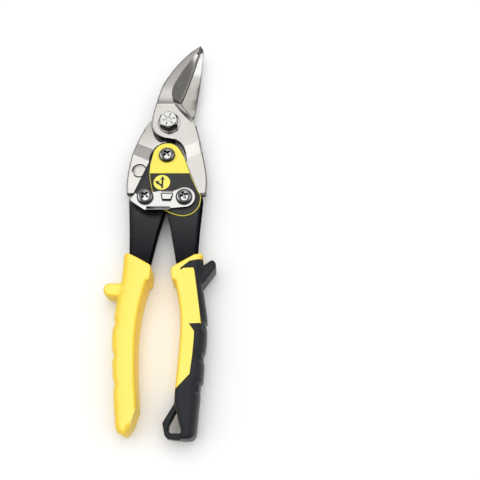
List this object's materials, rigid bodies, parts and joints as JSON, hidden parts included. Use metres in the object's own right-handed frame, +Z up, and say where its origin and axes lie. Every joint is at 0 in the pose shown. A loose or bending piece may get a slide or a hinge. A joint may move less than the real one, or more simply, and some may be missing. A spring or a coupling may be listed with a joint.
{
  "type": "aviation snips",
  "caption": "Left and straight cutting aviation snips with compound levers, offset jaws, a hook latch, pressed steel handles and moulded grips.",
  "frame": {"origin": "middle of the bounding box, on the surface that the closed snips lie on", "axes": "+Z up through the thickness, +Y along the tool towards the jaws, +X towards the right-hand handle"},
  "size_m": [0.0628, 0.2508, 0.0207],
  "materials": {
    "ground_steel": "satin, ground along the jaws",
    "bright_plating": "bright nickel plating",
    "spring_steel": "oiled wire",
    "black_paint": "semi-gloss black powder coat",
    "yellow_paint": "satin yellow enamel",
    "dark_label": "satin printed film",
    "yellow_label": "satin printed film",
    "yellow_plastic": "satin moulded vinyl",
    "black_rubber": "matte moulded rubber"
  },
  "bodies": {
    "right_handle": {"right_handle_frame": "black_paint", "hinge_screw": "bright_plating", "hinge_nut": "bright_plating", "spring_sleeve": "bright_plating", "right_tang_screw": "bright_plating", "right_tang_nut": "bright_plating", "right_tang_spacers": "bright_plating", "cover_plate": "yellow_paint", "cover_label": "dark_label", "direction_disc": "yellow_label", "latch_washer": "bright_plating", "right_grip_core": "yellow_plastic", "right_grip_overmould": "black_rubber", "opening_spring": "spring_steel"},
    "left_handle": {"left_handle_frame": "black_paint", "left_tang_screw": "bright_plating", "left_tang_nut": "bright_plating", "left_tang_sleeve": "bright_plating", "left_grip": "yellow_plastic"},
    "upper_blade_body": {"upper_blade": "ground_steel", "pivot_bolt": "bright_plating", "pivot_washer": "bright_plating", "pivot_nut": "bright_plating"},
    "lower_blade_body": {"lower_blade": "ground_steel", "stamped_disc": "ground_steel"},
    "latch_body": {"latch": "bright_plating"}
  },
  "joints": [
    {"name": "handle_hinge", "type": "hinge", "parent": "right_handle", "child": "left_handle", "pos_m": [0.001, 0.0395, 0.009], "axis": [0, 0, -1], "range_deg": [0, 39], "deforming": ["opening_spring"]},
    {"name": "upper_tang_pivot", "type": "hinge", "parent": "right_handle", "child": "upper_blade_body", "pos_m": [0.0124, 0.0107, 0.009], "axis": [0, 0, -1], "range_deg": [0, 9.5]},
    {"name": "blade_pivot", "type": "hinge", "parent": "upper_blade_body", "child": "lower_blade_body", "pos_m": [0.001, 0.0638, 0.009], "axis": [0, 0, -1], "range_deg": [0, 20.1]},
    {"name": "latch_pivot", "type": "hinge", "parent": "right_handle", "child": "latch_body", "pos_m": [0.0124, 0.0107, 0.017], "axis": [0, 0, 1], "range_deg": [0, 62.5]}
  ],
  "couplings": [
    {"joint": "upper_tang_pivot", "follows": "handle_hinge", "ratio": 0.243},
    {"joint": "blade_pivot", "follows": "handle_hinge", "ratio": 0.514},
    {"joint": "latch_pivot", "follows": "handle_hinge", "ratio": 1.6}
  ]
}
